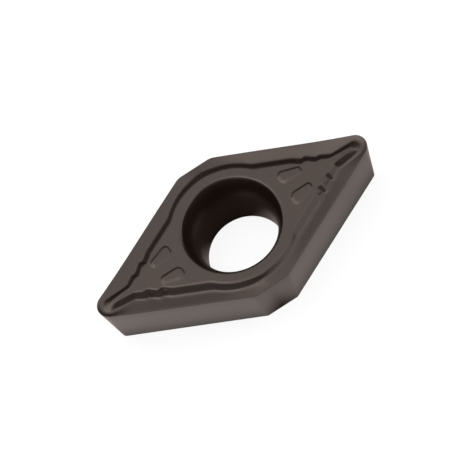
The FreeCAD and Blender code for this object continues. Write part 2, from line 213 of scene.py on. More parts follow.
# %% The ridge and the two steps
RIDGE_TIP_BACK = 0.98
RIDGE_TIP_RADIUS = 0.1
RIDGE_LENGTH = 1.4
RIDGE_HALF_WIDTH = 0.25
STEP_TWO_SLOPE, STEP_TWO_RISE, STEP_TWO_LENGTH = 0.5, 0.3, 0.3
STEP_ONE_SLOPE, STEP_ONE_RISE, STEP_ONE_LENGTH = 0.4, 0.41, 0.5
STEP_ONE_TRIM = 0.12
SHOULDER_SLOPE = 0.4
GROOVE_WIDTH = 0.865
WALL_RUN = 0.39

ridge_tip = NOSE_TIP - RIDGE_TIP_BACK
plateau_inset = GROOVE_WIDTH + WALL_RUN
root_two = ridge_tip - RIDGE_LENGTH
end_two = root_two - STEP_TWO_SLOPE
root_one = end_two - STEP_TWO_LENGTH - STEP_ONE_SLOPE
end_one = root_one - STEP_ONE_LENGTH
shoulder_x = end_one - SHOULDER_SLOPE
shoulder_y = (EDGE_REACH - plateau_inset - shoulder_x * math.sin(LEAN)) / math.cos(LEAN)
step_two_width = RIDGE_HALF_WIDTH + STEP_TWO_RISE
step_one_width = step_two_width + STEP_ONE_RISE
step_points = [(root_two, RIDGE_HALF_WIDTH), (end_two, step_two_width),
               (end_two - STEP_TWO_LENGTH, step_two_width), (root_one, step_one_width),
               (end_one + STEP_ONE_TRIM, step_one_width), (shoulder_x, shoulder_y)]
print("ridge and steps turn at x =", [round(float(point[0]), 2) for point in step_points])

# %% [markdown]
# The foot of the wall keeps an even distance from the cutting edge along the sides, which leaves a groove
# between them. Beside the ridge and the steps it follows the plateau's edge instead, a little further out,
# so that each step has a slope of its own below it. Both outlines then turn round the hole.

# %% The plateau's edge and the foot of its wall
NOSE_GROOVE_WIDTH = 0.3
FOOT_BEND = 1.27
PLATEAU_BEND = 1.42
# How far the foot lies outside each of the six points of the plateau's edge, along X and along Y
FOOT_STANDS_OUT = ((0.20, 0.24), (0.08, 0.36), (0.12, 0.36), (0.05, 0.42), (0.14, 0.40), (0.30, 0.29))

plateau_points = (round_end(ridge_tip, RIDGE_TIP_RADIUS) + [np.array(point) for point in step_points]
                  + round_the_hole(PLATEAU_BEND, plateau_inset))
foot_points = (round_end(NOSE_CENTRE, NOSE_RADIUS - NOSE_GROOVE_WIDTH)
               + [np.add(point, out) for point, out in zip(step_points, FOOT_STANDS_OUT)]
               + round_the_hole(FOOT_BEND, GROOVE_WIDTH))
plateau_plan = plan_outline(plateau_points, ridge_tip, True)
foot_plan = plan_outline(foot_points, NOSE_CENTRE, True)
print(f"plateau {plateau_plan[-1, 1]:.3f} mm and foot {foot_plan[-1, 1]:.3f} mm from the axis at the corner")

# %% [markdown]
# The cutting edge isn't level: it lies lower along the sides and rises to each nose with the square of the
# distance, which gives a chip a slanting start. The flank leans inwards below it, so a lower edge also
# lies a little further in.

# %% The cutting edge and the flank's lower edge
EDGE_DIP = 0.12
CORNER_DIP = 0.15
RISE_LENGTH = 3.4


def edge_height(along):
    """Height of the cutting edge: level, then rising with the square of the way to the nose."""
    share = np.clip(1 - (EDGE_END - along) / RISE_LENGTH, 0.0, 1.0)
    return NOSE_HEIGHT - EDGE_DIP * (1 - share ** 2)


def flank_outline(drop):
    """The flank's outline at every column, 'drop' below the noses.

    There the relief has led it inwards, by the drop times the tangent of the relief angle.
    """
    inset = drop * RELIEF
    reach = CORNER_REACH - inset
    flat_x = (EDGE_REACH - inset - reach * math.cos(LEAN)) / math.sin(LEAN)
    step_places = [along_edge(point) for point in step_points]
    points = (round_end(NOSE_CENTRE, NOSE_RADIUS - inset)
              + [beside_edge(along, inset) for along in step_places + [FOOT_BEND]]
              + [np.array([flat_x, reach]), np.array([0.0, reach])])
    return plan_outline(points, NOSE_CENTRE, False)


level_edge = flank_outline(0.0)
seat_outline = flank_outline(NOSE_HEIGHT)
edge_along = np.clip(level_edge @ [math.cos(LEAN), -math.sin(LEAN)], None, EDGE_END)
corner_share = np.clip((quarter_place - BEND) / (CORNER - BEND), 0, 1)
edge_z = edge_height(edge_along) + (EDGE_DIP - CORNER_DIP) * corner_share
edge_z = np.where(quarter_place <= NOSE_SIDE, NOSE_HEIGHT, edge_z)
lean_in = ((NOSE_HEIGHT - edge_z) / NOSE_HEIGHT)[:, None]
edge_plan = level_edge + (seat_outline - level_edge) * lean_in
print(f"the cutting edge lies {edge_z.min():.3f} to {edge_z.max():.3f} mm above the seat")

# %% [markdown]
# The rake face falls from the cutting edge to the foot of the wall, steeply at a nose and gently along the
# sides, and at the wide corner it rises. So the foot's height follows from the edge's height, the
# distance between them and an angle. The plateau is level, but the ridge's crest falls towards its tip.

# %% Heights of the foot and of the ridge's crest
RAKE_ANGLE = 8.6
NOSE_RAKE_ANGLE = 20.0
CORNER_RISE_ANGLE = 6.0
CREST_FALL = 0.06
CREST_FALL_START = 7.7


def fall_over(run, degrees):
    """How far a face falls over a run in plan: the run times the tangent of its angle."""
    return run * math.tan(math.radians(degrees))


def crest_fall(x):
    """How far the ridge's crest falls towards its tip: the whole fall times the square of the way."""
    share = np.clip((np.abs(x) - CREST_FALL_START) / (NOSE_CENTRE - CREST_FALL_START), 0, 1)
    return CREST_FALL * share ** 2


nose_foot = NOSE_HEIGHT - fall_over(NOSE_GROOVE_WIDTH, NOSE_RAKE_ANGLE)
side_foot = [float(edge_height(along_edge(point))) - fall_over(inset_of(point), RAKE_ANGLE)
             for point in foot_points[RIDGE_ROOT:CORNER]]
corner_band = CORNER_REACH - math.hypot(*foot_points[BEND])
corner_foot = NOSE_HEIGHT - CORNER_DIP + fall_over(corner_band, CORNER_RISE_ANGLE)
around_hole = (side_foot[-1] + corner_foot) / 2
foot_z = at_columns([nose_foot] * 2 + side_foot + [around_hole, corner_foot], quarter_place)
plateau_z = PLATEAU_TOP - crest_fall(plateau_plan[:, 0])
print(f"the foot lies {foot_z.min():.3f} to {foot_z.max():.3f} mm above the seat")

# %% [markdown]
# The corners of these outlines are still sharp in plan. A punch is ground and polished, and its corners
# are round. Instead of fitting an arc into each corner, we let every point take the mean of its
# neighbours along the outline, weighted by a bell curve. Straight runs stay as they are, corners turn
# round, and the width of the bell sets how much.

# %% Round the outlines' corners
def whole(plan, height):
    """The closed outline with its heights, from a quarter's plan points."""
    height = np.broadcast_to(height, len(plan))
    return mirrored_round(np.column_stack([plan, height]))


def eased(outline, reaches):
    """The outline with softened corners: each point is a bell-weighted mean along the closed line.

    With s the length along the line, a point's weight falls as exp(-(distance in s / reach)^2 / 2), and
    each neighbour counts by the length of line that it stands for. A reach is given for each station.
    """
    steps = np.linalg.norm(np.roll(outline, -1, axis=0) - outline, axis=1)
    run = np.concatenate([[0.0], np.cumsum(steps)[:-1]])
    total = steps.sum()
    owned = (steps + np.roll(steps, 1)) / 2
    apart = np.abs(run[:, None] - run[None, :])
    apart = np.minimum(apart, total - apart)
    weight = np.exp(-(apart / at_columns(reaches)[:, None]) ** 2 / 2) * owned
    return weight @ outline / weight.sum(axis=1, keepdims=True)


# The bell's reach in millimetres, at each station
EASE_PLATEAU = (0.03, 0.04, 0.10, 0.10, 0.06, 0.12, 0.03, 0.10, 0.15, 0.15, 0.15)
EASE_FOOT = (0.05, 0.08, 0.12, 0.10, 0.04, 0.12, 0.04, 0.10, 0.15, 0.15, 0.15)
EASE_EDGE = (0.02, 0.02, 0.05, 0.05, 0.05, 0.05, 0.05, 0.05, 0.10, 0.16, 0.12)
EASE_SEAT = (0.02, 0.02, 0.02, 0.02, 0.02, 0.02, 0.02, 0.02, 0.02, 0.03, 0.02)
plateau_edge = eased(whole(plateau_plan, plateau_z), EASE_PLATEAU)
wall_foot = eased(whole(foot_plan, foot_z), EASE_FOOT)
cutting_edge = eased(whole(edge_plan, edge_z), EASE_EDGE)
seat_edge = eased(whole(seat_outline, 0.0), EASE_SEAT)
print(f"cutting edge {np.ptp(cutting_edge[:, 0]):.3f} x {np.ptp(cutting_edge[:, 1]):.3f} mm")

# %% [markdown]
# The screw hole is the one round part. It is turned about the axis: straight from the seat face up, then a
# curve that swells towards the axis, on which the screw's cone bears, and a small round over to the
# plateau. The curve is deeper and flatter here than the solid's, by up to a tenth of a millimetre: the
# solid's shows as a ring of light in the hole, which the photograph hasn't got. The profile is a list of
# radii and heights, and each column stands at its own angle round the hole.

# %% The screw hole
SINK_DEPTH = 2.4
SINK_CURVE_RADIUS = 4.54
RIM_ROUNDING = 0.21
SINK_RINGS, RIM_RINGS = 12, 9
STRAIGHT_SHARES = (0.1, 0.55)
# Each station's angle round the hole, in radians
HOLE_TURNS = (0.0, 0.02, 0.04, 0.07, 0.10, 0.18, 0.22, 0.36, 0.72, 1.32, math.pi / 2)

quarter_turn = at_columns(HOLE_TURNS, quarter_place)
compass = mirrored_round(np.column_stack([np.cos(quarter_turn), np.sin(quarter_turn), 0 * quarter_turn]))
compass = compass / np.linalg.norm(compass, axis=1, keepdims=True)


def hole_ring(radius, height):
    """A ring of the hole: every column's direction from the axis times the radius, at one height."""
    return compass * radius + [0.0, 0.0, height]


def turned(centre_x, centre_z, radius, turns):
    """Points of an arc in the hole's section: its centre plus its radius times (cos, sin) of each turn."""
    return [(centre_x + radius * math.cos(turn), centre_z + radius * math.sin(turn)) for turn in turns]


bow_x, bow_z = HOLE_RADIUS + SINK_CURVE_RADIUS, PLATEAU_TOP - SINK_DEPTH
rim_z = PLATEAU_TOP - RIM_ROUNDING
rim_radius = bow_x - math.sqrt((SINK_CURVE_RADIUS - RIM_ROUNDING) ** 2 - (rim_z - bow_z) ** 2)
meeting = math.atan2(rim_z - bow_z, rim_radius - bow_x)
hole_profile = ([(HOLE_RADIUS, bow_z * share) for share in STRAIGHT_SHARES]
                + turned(bow_x, bow_z, SINK_CURVE_RADIUS, np.linspace(math.pi, meeting, SINK_RINGS))
                + turned(rim_radius, rim_z, RIM_ROUNDING, np.linspace(meeting, math.pi / 2, RIM_RINGS)[1:]))
print(f"rim radius {rim_radius:.3f} mm, {len(hole_profile)} rings in the hole")

# %% [markdown]
# Four low pads stand on the plateau beside the steps. Each is a height laid over the plateau: nothing
# outside the pad's outline, full height inside, and a smooth ramp between. The outline is a trapezium that
# has lost its two corners next to the hole, with all its corners rounded. That is simply all points
# within a given distance of a smaller polygon of the same shape.

# %% The raised pads
PAD_MARGIN = 0.08
PAD_LENGTH = 1.35
PAD_INNER = 0.43
PAD_WIDTH_NEAR = 0.87
PAD_WIDTH_FAR = 0.37
PAD_BEVEL = 0.22
PAD_ROUNDING = 0.18
PAD_SPREAD = 0.11
PAD_RAMP = 0.20
pad_far = end_one - PAD_MARGIN
pad_near = pad_far - PAD_LENGTH
pad_taper = (PAD_WIDTH_NEAR - PAD_WIDTH_FAR) / PAD_LENGTH
pad_corners = np.array([(pad_near + PAD_BEVEL, PAD_INNER), (pad_far, PAD_INNER),
                        (pad_far, PAD_INNER + PAD_WIDTH_FAR),
                        (pad_near + PAD_BEVEL, PAD_INNER + PAD_WIDTH_NEAR - PAD_BEVEL * pad_taper),
                        (pad_near, PAD_INNER + PAD_WIDTH_NEAR - PAD_BEVEL),
                        (pad_near, PAD_INNER + PAD_BEVEL)])


def shrunk(corners, inset):
    """A convex polygon with every side moved inwards: each corner is where its two moved sides meet."""
    sides = np.roll(corners, -1, axis=0) - corners
    inward = np.column_stack([-sides[:, 1], sides[:, 0]]) / np.linalg.norm(sides, axis=1, keepdims=True)
    level = (inward * corners).sum(axis=1) + inset
    pairs = zip(np.roll(inward, 1, axis=0), inward, np.roll(level, 1), level)
    return np.array([np.linalg.solve([first, second], [low, high]) for first, second, low, high in pairs])


def outside(points, corners):
    """Distance from each point to a convex polygon, nothing inside it: the least of the sides' own."""
    nearest = np.full(points.shape[:-1], np.inf)
    within = np.ones(points.shape[:-1], bool)
    for start, end in zip(corners, np.roll(corners, -1, axis=0)):
        side = end - start
        away = points - start
        share = np.clip(away @ side / (side @ side), 0, 1)
        nearest = np.minimum(nearest, np.linalg.norm(away - share[..., None] * side, axis=-1))
        within &= side[0] * away[..., 1] - side[1] * away[..., 0] >= 0
    return np.where(within, 0.0, nearest)


pad_core = shrunk(pad_corners, PAD_ROUNDING)


def pad_lift(points):
    """How far the pads raise plan points: height times 3t^2 - 2t^3, with t the way up the ramp."""
    way = np.clip((PAD_ROUNDING + PAD_SPREAD - outside(np.abs(points), pad_core)) / PAD_RAMP, 0, 1)
    return PAD_HEIGHT * way ** 2 * (3 - 2 * way)


print(f"pads from x = {pad_near:.2f} to {pad_far:.2f} mm")

# %% [markdown]
# The brink of the plateau, where its wall's rounding starts, lies a little within its edge. Between the
# hole's rim and the brink we need rings of vertices, closely where a pad's ends are and thinly elsewhere.
# Four guide lines across the plateau bound the two close bands. Beside the pads they lie square to the
# long diagonal, and towards the wide corner, where there is no pad, they share the room evenly.

# %% Guide lines across the plateau
# From the plateau's edge back to the brink, at each station
BRINK_ROUNDING = at_columns([0.035, 0.035, 0.10, 0.11, 0.10, 0.11, 0.10, 0.13, 0.15, 0.15, 0.15])
BAND_OUTSIDE, BAND_INSIDE = 0.13, 0.20
# x of the outer two guides at the shoulder, and every guide's share of the way at the wide corner
GUIDES_AT_SHOULDER = (4.46, 4.74)
GUIDES_AT_CORNER = (0.2, 0.4, 0.6, 0.8)
LEAST_WAY = 0.1


def plan_normal(outline):
    """Outward directions in plan, square to the outline: its central difference turned by 90 degrees."""
    ahead = np.roll(outline, -1, axis=0) - np.roll(outline, 1, axis=0)
    out = np.column_stack([ahead[:, 1], -ahead[:, 0], np.zeros(len(outline))])
    return out / np.linalg.norm(out, axis=1, keepdims=True)


plateau_brink = plateau_edge - plan_normal(plateau_edge) * BRINK_ROUNDING[:, None]
plateau_brink[:, 2] = PLATEAU_TOP - crest_fall(plateau_brink[:, 0])
rim = hole_ring(rim_radius, PLATEAU_TOP)
way_x = np.abs(plateau_brink[:, 0]) - np.abs(rim[:, 0])


def guide_share(beside_pads, at_shoulder, at_corner):
    """Where a guide line crosses each column, as a share of the way from the rim to the brink.

    Up to the shoulder the line is given by its x: its share is the way in x from the rim to it, over
    the way in x to the brink. From there to the bend, the share runs straight to the corner's.
    """
    known = [beside_pads] * STEP_ONE_ROOT + [(beside_pads + at_shoulder) / 2, at_shoulder]
    crossing = np.interp(place, range(SHOULDER + 1), known)
    beside = (crossing - np.abs(rim[:, 0])) / np.where(np.abs(way_x) < LEAST_WAY, LEAST_WAY, way_x)
    shoulder_share = beside[int(np.argmin(np.abs(place - SHOULDER)))]
    further = np.interp(place, [SHOULDER, BEND], [shoulder_share, at_corner])
    return np.where(place <= SHOULDER, beside, further)


guides_x = (pad_near - BAND_OUTSIDE, pad_near + BAND_INSIDE, pad_far - BAND_INSIDE, pad_far + BAND_OUTSIDE)
guides = zip(guides_x, guides_x[:2] + GUIDES_AT_SHOULDER, GUIDES_AT_CORNER)
guide_shares = [np.zeros(len(place))] + [guide_share(*guide) for guide in guides] + [np.ones(len(place))]
print("guide lines at x =", [round(float(x), 2) for x in guides_x])

# %% [markdown]
# With the guide lines in place, the rings are laid between them: each column's straight way from the rim
# to the brink is divided by the shares. The pads then raise the vertices that lie on them.

# %% Rings across the plateau
RINGS_BETWEEN_GUIDES = (3, 8, 3, 9, 4)

plateau_rings = []
for count, near, far in zip(RINGS_BETWEEN_GUIDES, guide_shares, guide_shares[1:]):
    for step in range(count):
        share = near + (far - near) * step / count
        ring = rim + (plateau_brink - rim) * share[:, None]
        ring[:, 2] = PLATEAU_TOP - crest_fall(ring[:, 0])
        plateau_rings.append(ring + np.outer(pad_lift(ring[:, :2]), [0, 0, 1]))
print(f"{len(plateau_rings)} rings across the plateau")

# %% [markdown]
# A hard line between two faces is what gives a computer model away. Every such line here gets a small
# rounding: a curve that starts on one face, ends on the other and bends round the sharp corner, which is
# a quadratic Bezier curve with the corner as its middle point. The cutting edge gets one too, because
# inserts are brushed to a fine hone before they are coated.

# %% Rounded edges along the rings
FOOT_ROUNDING = 0.175
HONE = 0.03
SEAT_ROUNDING = 0.03
HOLE_FOOT_ROUNDING = 0.07
MOST_OF_THE_WAY = 0.45


def towards(start, end, distance):
    """From each point of one ring, the point 'distance' away towards another, or 0.45 of the way there."""
    way = end - start
    length = np.linalg.norm(way, axis=1, keepdims=True)
    return start + way / length * np.minimum(np.reshape(distance, (-1, 1)), length * MOST_OF_THE_WAY)


def rounding(start, corner, end, steps):
    """Rings of a rounded edge: (1-t)^2 start + 2t(1-t) corner + t^2 end, with t from 0 to 1."""
    shares = np.linspace(0, 1, steps + 1)
    return [(1 - t) ** 2 * start + 2 * t * (1 - t) * corner + t ** 2 * end for t in shares]


seat_hole = hole_ring(HOLE_RADIUS, 0.0)
brow = rounding(plateau_brink, plateau_edge, towards(plateau_edge, wall_foot, BRINK_ROUNDING), steps=6)
fillet = rounding(towards(wall_foot, plateau_edge, FOOT_ROUNDING), wall_foot,
                  towards(wall_foot, cutting_edge, FOOT_ROUNDING), steps=8)
hone = rounding(towards(cutting_edge, wall_foot, HONE), cutting_edge,
                towards(cutting_edge, seat_edge, HONE), steps=5)
seat_round = rounding(towards(seat_edge, cutting_edge, SEAT_ROUNDING), seat_edge,
                      towards(seat_edge, seat_hole, SEAT_ROUNDING), steps=4)
hole_round = rounding(towards(seat_hole, seat_edge, HOLE_FOOT_ROUNDING), seat_hole,
                      hole_ring(HOLE_RADIUS, HOLE_FOOT_ROUNDING), steps=4)
print(f"{len(brow + fillet + hone + seat_round + hole_round)} rings in five rounded edges")

# %% [markdown]
# A small round knob rises from the groove beside each step. In the photograph it is only a dark spot with
# a bright curl, so its height is a guess. Like a pad, it is a height laid over the rings, here a dome
# that starts and ends level. Two more rings just past the wall's foot give it enough vertices.

# %% Knobs in the groove
KNOB_PLACES = ((6.20, 0.89), (5.42, 1.28))
KNOB_RADIUS = 0.18
KNOB_HEIGHT = 0.07
TOE_REACH = 0.2


def between(start, end, steps):
    """Rings that run straight from one to another, without the two ends."""
    return [start + (end - start) * step / (steps + 1) for step in range(1, steps + 1)]


def with_knobs(ring):
    """The ring raised over the knobs: height times (1 - t^2)^2, t the distance over the radius."""
    for centre in KNOB_PLACES:
        way = np.linalg.norm(np.abs(ring[:, :2]) - centre, axis=1) / KNOB_RADIUS
        ring = ring + np.outer(KNOB_HEIGHT * np.clip(1 - way ** 2, 0, 1) ** 2, [0, 0, 1])
    return ring


toe = towards(fillet[-1], hone[0], TOE_REACH)
groove = between(brow[-1], fillet[0], 6) + fillet + between(fillet[-1], toe, 1) + [toe]
knobbed_groove = [with_knobs(ring) for ring in groove]
raised = max(float(np.ptp(new - old)) for new, old in zip(knobbed_groove, groove))
print(f"{4 * len(KNOB_PLACES)} knobs, the highest vertex raised by {raised:.3f} mm")

# %% [markdown]
# Now the rings are stacked in order: from the hole's rim across the plateau, down its wall, up the rake
# face and over the cutting edge, down the flank, inwards across the seat face and up through the hole.

# %% Stack the rings
rings = plateau_rings + brow + knobbed_groove
rings += between(toe, hone[0], 2) + hone
rings += between(hone[-1], seat_round[0], 3) + seat_round
rings += between(seat_round[-1], hole_round[0], 2) + hole_round
rings += [hole_ring(radius, height) for radius, height in hole_profile[:-1]]
grid = np.stack(rings)
print(f"{grid.shape[0]} rings of {grid.shape[1]} vertices")

# %% [markdown]
# The rings close on themselves both ways, like the skin of a ring doughnut, so there is no seam and no
# hole in the mesh. Vertex (i, j) of the grid has the number i * columns + j, and each face joins it to the
# next ring and the next column. We check the result by its volume: a closed mesh with faces that point
# outwards has a positive one, so a negative one turns the rings' order round.

# %% Build the insert's mesh
def closed_grid_mesh(name, points):
    """A mesh from a grid whose rows and columns both close: a face at every vertex, towards the next."""
    rows, columns = points.shape[:2]
    number = np.arange(rows * columns).reshape(rows, columns)
    right, up = np.roll(number, -1, axis=1), np.roll(number, -1, axis=0)
    faces = np.stack([number, up, np.roll(up, -1, axis=1), right], axis=-1).reshape(-1, 4)
    mesh = bpy.data.meshes.new(name)
    mesh.vertices.add(rows * columns)
    mesh.vertices.foreach_set("co", points.reshape(-1).astype(np.float32))
    mesh.loops.add(faces.size)
    mesh.loops.foreach_set("vertex_index", faces.ravel().astype(np.int32))
    mesh.polygons.add(len(faces))
    mesh.polygons.foreach_set("loop_start", np.arange(0, faces.size, 4, dtype=np.int32))
    mesh.update(calc_edges=True)
    mesh.validate()
    mesh.shade_smooth()
    return mesh


def volume(points):
    """Volume inside the closed grid: a sixth of the sum of triple products over its triangles."""
    a, b = points, np.roll(points, -1, axis=0)
    c, d = np.roll(b, -1, axis=1), np.roll(points, -1, axis=1)
    return sum(float((p * np.cross(q, r)).sum()) / 6 for p, q, r in ((a, b, c), (a, c, d)))


mesh_volume = volume(grid)
if mesh_volume < 0:
    grid = grid[::-1]
insert_mesh = closed_grid_mesh("insert_coated", grid * MM)
insert = bpy.data.objects.new("insert_coated", insert_mesh)
bpy.context.scene.collection.objects.link(insert)
insert.modifiers.new("flat faces stay flat", "WEIGHTED_NORMAL")
print(f"{len(insert_mesh.polygons) * 2} triangles, {abs(mesh_volume):.1f} cubic mm")

# %% [markdown]
# The finish is a thin hard coating, grown from vapour on the sintered carbide. It is nearly black, and
# most of what we see in it is a dull, warm reflection of its surroundings. A metal shader would mirror
# them with its own colour all over. A very dark base under a strong reflection is closer: the high index
# of refraction sets how strong it is, and the tint makes it warm.

# %% The coating's strong, warm shine
COATING_INDEX = 1.775
SHINE_TINT = (1.0, 0.84, 0.765, 1)


def add_node(tree, kind, inputs=None, **settings):
    """A node with its settings and plain input values set."""
    node = tree.nodes.new(kind)
    for name, value in settings.items():
        setattr(node, name, value)
    for name, value in (inputs or {}).items():
        node.inputs[name].default_value = value
    return node


def new_material(name):
    """An empty node material, and its tree."""
    material = bpy.data.materials.new(name)
    material.use_nodes = True
    material.node_tree.nodes.clear()
    return material, material.node_tree


coating, tree = new_material("coated_carbide")
link = tree.links.new
output = add_node(tree, "ShaderNodeOutputMaterial")
surface = add_node(tree, "ShaderNodeBsdfPrincipled", {"Metallic": 0.0, "IOR": COATING_INDEX,
                                                     "Specular Tint": SHINE_TINT})
link(surface.outputs["BSDF"], output.inputs["Surface"])
head_on = ((COATING_INDEX - 1) / (COATING_INDEX + 1)) ** 2
print(f"seen head-on, the coating reflects {head_on:.1%} of the light")

# %% [markdown]
# The coating's thickness varies from place to place, which shifts its colour between a warm and a cool
# brown. A cloudy noise, about a millimetre across, does that. The grain of the carbide shows through as
# a second noise, finer than the eye can part: it drives both the roughness and a very fine bump.

# %% Colour clouds and grain
COATING_WARM = (0.0150, 0.0065, 0.0035, 1)
COATING_COOL = (0.0110, 0.0060, 0.0045, 1)
NOISE_LOW, NOISE_HIGH = 0.3, 0.7
ROUGH_LOW, ROUGH_HIGH = 0.23, 0.29

spot = add_node(tree, "ShaderNodeTexCoord")
cloud = add_node(tree, "ShaderNodeTexNoise", {"Scale": 900.0, "Detail": 3.0, "Roughness": 0.55})
grain = add_node(tree, "ShaderNodeTexNoise", {"Scale": 22000.0, "Detail": 2.0, "Roughness": 0.6})
for noise in (cloud, grain):
    link(spot.outputs["Object"], noise.inputs["Vector"])

tint = add_node(tree, "ShaderNodeValToRGB")
for element, position, colour in zip(tint.color_ramp.elements, (NOISE_LOW, NOISE_HIGH),
                                     (COATING_COOL, COATING_WARM)):
    element.position = position
    element.color = colour
rough = add_node(tree, "ShaderNodeMapRange", {"From Min": NOISE_LOW, "From Max": NOISE_HIGH,
                                              "To Min": ROUGH_LOW, "To Max": ROUGH_HIGH})
bump = add_node(tree, "ShaderNodeBump", {"Strength": 0.12, "Distance": 0.01 * MM})
link(cloud.outputs["Fac"], tint.inputs["Fac"])
link(grain.outputs["Fac"], rough.inputs["Value"])
link(grain.outputs["Fac"], bump.inputs["Height"])
link(bump.outputs["Normal"], surface.inputs["Normal"])
print(f"roughness {ROUGH_LOW} to {ROUGH_HIGH}, {len(tree.nodes)} nodes so far")

# %% [markdown]
# Inside the hole the coating's colour is dimmed a little, which is painted shade in the shut-in hole. Its
# roughness is raised there too, as on a part whose outside alone is brushed after it is coated. The distance
# from the axis tells where the hole is, so the change goes round it evenly and ends at its rim.

# %% Painted shade and duller roughness in the hole
HOLE_INNER, HOLE_OUTER = 2.6 * MM, 3.1 * MM
# The base colour in the hole is multiplied by this: painted shade in the hole
HOLE_SHADE_FACTOR = 0.8
DULLER = 1.3
# The Mix node's sockets for colours, which share their names with its sockets for numbers
FIRST_COLOUR, SECOND_COLOUR, MIXED_COLOUR = 6, 7, 2

flat_spot = add_node(tree, "ShaderNodeVectorMath", {1: (1, 1, 0)}, operation="MULTIPLY")
from_axis = add_node(tree, "ShaderNodeVectorMath", operation="LENGTH")
in_hole = add_node(tree, "ShaderNodeMapRange", {"From Min": HOLE_INNER, "From Max": HOLE_OUTER,
                                                "To Min": 1.0, "To Max": 0.0})
link(spot.outputs["Object"], flat_spot.inputs[0])
link(flat_spot.outputs["Vector"], from_axis.inputs[0])
link(from_axis.outputs["Value"], in_hole.inputs["Value"])

# Painted shade: the base colour is dimmed inside the hole
hole_shade_painted = add_node(tree, "ShaderNodeMix", {SECOND_COLOUR: (HOLE_SHADE_FACTOR, HOLE_SHADE_FACTOR, HOLE_SHADE_FACTOR, 1)}, data_type="RGBA",
                  blend_type="MULTIPLY")
link(in_hole.outputs["Result"], hole_shade_painted.inputs["Factor"])
link(tint.outputs["Color"], hole_shade_painted.inputs[FIRST_COLOUR])
link(hole_shade_painted.outputs[MIXED_COLOUR], surface.inputs["Base Color"])

duller = add_node(tree, "ShaderNodeMapRange", {"To Min": 1.0, "To Max": DULLER})
roughness = add_node(tree, "ShaderNodeMath", operation="MULTIPLY")
link(in_hole.outputs["Result"], duller.inputs["Value"])
link(rough.outputs["Result"], roughness.inputs[0])
link(duller.outputs["Result"], roughness.inputs[1])
link(roughness.outputs[0], surface.inputs["Roughness"])
print(f"roughness in the hole up to {ROUGH_HIGH * DULLER:.3f}")

# %% [markdown]
# The finished piece now takes the CAD model's place. It rides on the one body that the insert has, stands
# for the CAD node, which is hidden, and wears the coating.

# %% Put the piece in the frame
insert_mesh.materials.append(coating)
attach(insert, "root")
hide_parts("insert_body")
print(insert.name, "stands for insert_body and wears", coating.name)

# %% [markdown]
# The floor is a sheet of plain white paper that plays a different part for each kind of ray, and the Light
# Path node tells the kinds apart. Here is its part for the camera, and for rays through glass: it glows by
# itself, a little less than white, over a dim matt grey. So it comes out white under any lamp, and the
# insert's shadow still shows as a soft grey.

# %% The floor for the camera
FLOOR_GLOW = 0.86
DIM_PAPER = (0.25, 0.25, 0.25, 1)

paper, tree = new_material("white_paper")
link = tree.links.new
ray = add_node(tree, "ShaderNodeLightPath")
seen_directly = add_node(tree, "ShaderNodeMath", operation="MAXIMUM")
link(ray.outputs["Is Camera Ray"], seen_directly.inputs[0])
link(ray.outputs["Is Transmission Ray"], seen_directly.inputs[1])

dimmed = add_node(tree, "ShaderNodeBsdfDiffuse", {"Color": DIM_PAPER})
glow = add_node(tree, "ShaderNodeEmission", {"Strength": FLOOR_GLOW})
for_camera = add_node(tree, "ShaderNodeAddShader")
link(dimmed.outputs[0], for_camera.inputs[0])
link(glow.outputs[0], for_camera.inputs[1])
print(f"the floor glows at {FLOOR_GLOW} for the camera")

# %% [markdown]
# For light that bounces, the paper is matt. It throws light up at the flanks, which are lit only weakly from
# below, so its colour is far below white. Its colour also paints light and shade. It is dimmer under the
# insert,
# where it lights the inside of the hole: a painted shadow. A band round the insert is lighter, a painted
# pool of light, and it fades to a dark grey outwards. The colour follows the distance from the axis,
# measured square to the cutting edges, so that its contours are rhombi like the insert's.

# %% The floor in bounced light
RAMP_REACH = 20.0
# Painted shade and light on the paper: a shadow under the insert, a lit band round it, dim far out
SHADED_PAPER = (0.20, 0.14, 0.12)
LIT_PAPER = (0.3, 0.275, 0.265)
FAR_PAPER = (0.12, 0.11, 0.10)

spot = add_node(tree, "ShaderNodeTexCoord")
folded = add_node(tree, "ShaderNodeVectorMath", operation="ABSOLUTE")
square_out = add_node(tree, "ShaderNodeVectorMath", {1: (math.sin(LEAN), math.cos(LEAN), 0)},
                      operation="DOT_PRODUCT")
along_ramp = add_node(tree, "ShaderNodeMath", {1: 1 / (RAMP_REACH * MM)}, operation="MULTIPLY")
link(spot.outputs["Object"], folded.inputs[0])
link(folded.outputs["Vector"], square_out.inputs[0])
link(square_out.outputs["Value"], along_ramp.inputs[0])


def by_distance(stops):
    """A colour ramp over that distance, straight between its stops, which are (millimetres, colour)."""
    ramp = add_node(tree, "ShaderNodeValToRGB")
    elements = ramp.color_ramp.elements
    while len(elements) < len(stops):
        elements.new(0.5)
    for element, (distance, colour) in zip(elements, stops):
        element.position = distance / RAMP_REACH
        element.color = (*colour, 1)
    link(along_ramp.outputs[0], ramp.inputs["Fac"])
    return ramp.outputs["Color"]


matt = add_node(tree, "ShaderNodeBsdfDiffuse")
# The paper's colour paints the insert's shadow under it and a pool of light round it
paper_light_and_shade = by_distance([(3.4, SHADED_PAPER), (4.4, LIT_PAPER), (8, LIT_PAPER), (14, FAR_PAPER)])
link(paper_light_and_shade, matt.inputs["Color"])
print(f"the insert's edge lies {EDGE_REACH / RAMP_REACH:.0%} of the way along the ramp")

# %% [markdown]
# For light that the coating mirrors, the paper glows as well, but only near the insert and less than
# white: a flank that mirrored full white would come out much paler. This glow is painted light. It is black
# under the insert, a painted shadow, and stronger on the left, painted light from that side. Inside the hole
# the walls to the left and right mirror a painted glow of their own, which is nothing in the middle.

# %% The floor in reflections
BLACK = (0, 0, 0)
GLOW_SPAN = 10 * MM
GLOW_LEFT = 0.60
GLOW_RIGHT = 0.44
GLOW_TINT = (1.0, 0.90, 0.87)
HOLE_GLOW = (0.54, 0.46, 0.44)
HOLE_GLOW_START, HOLE_GLOW_FULL = 1.3 * MM, 2.4 * MM

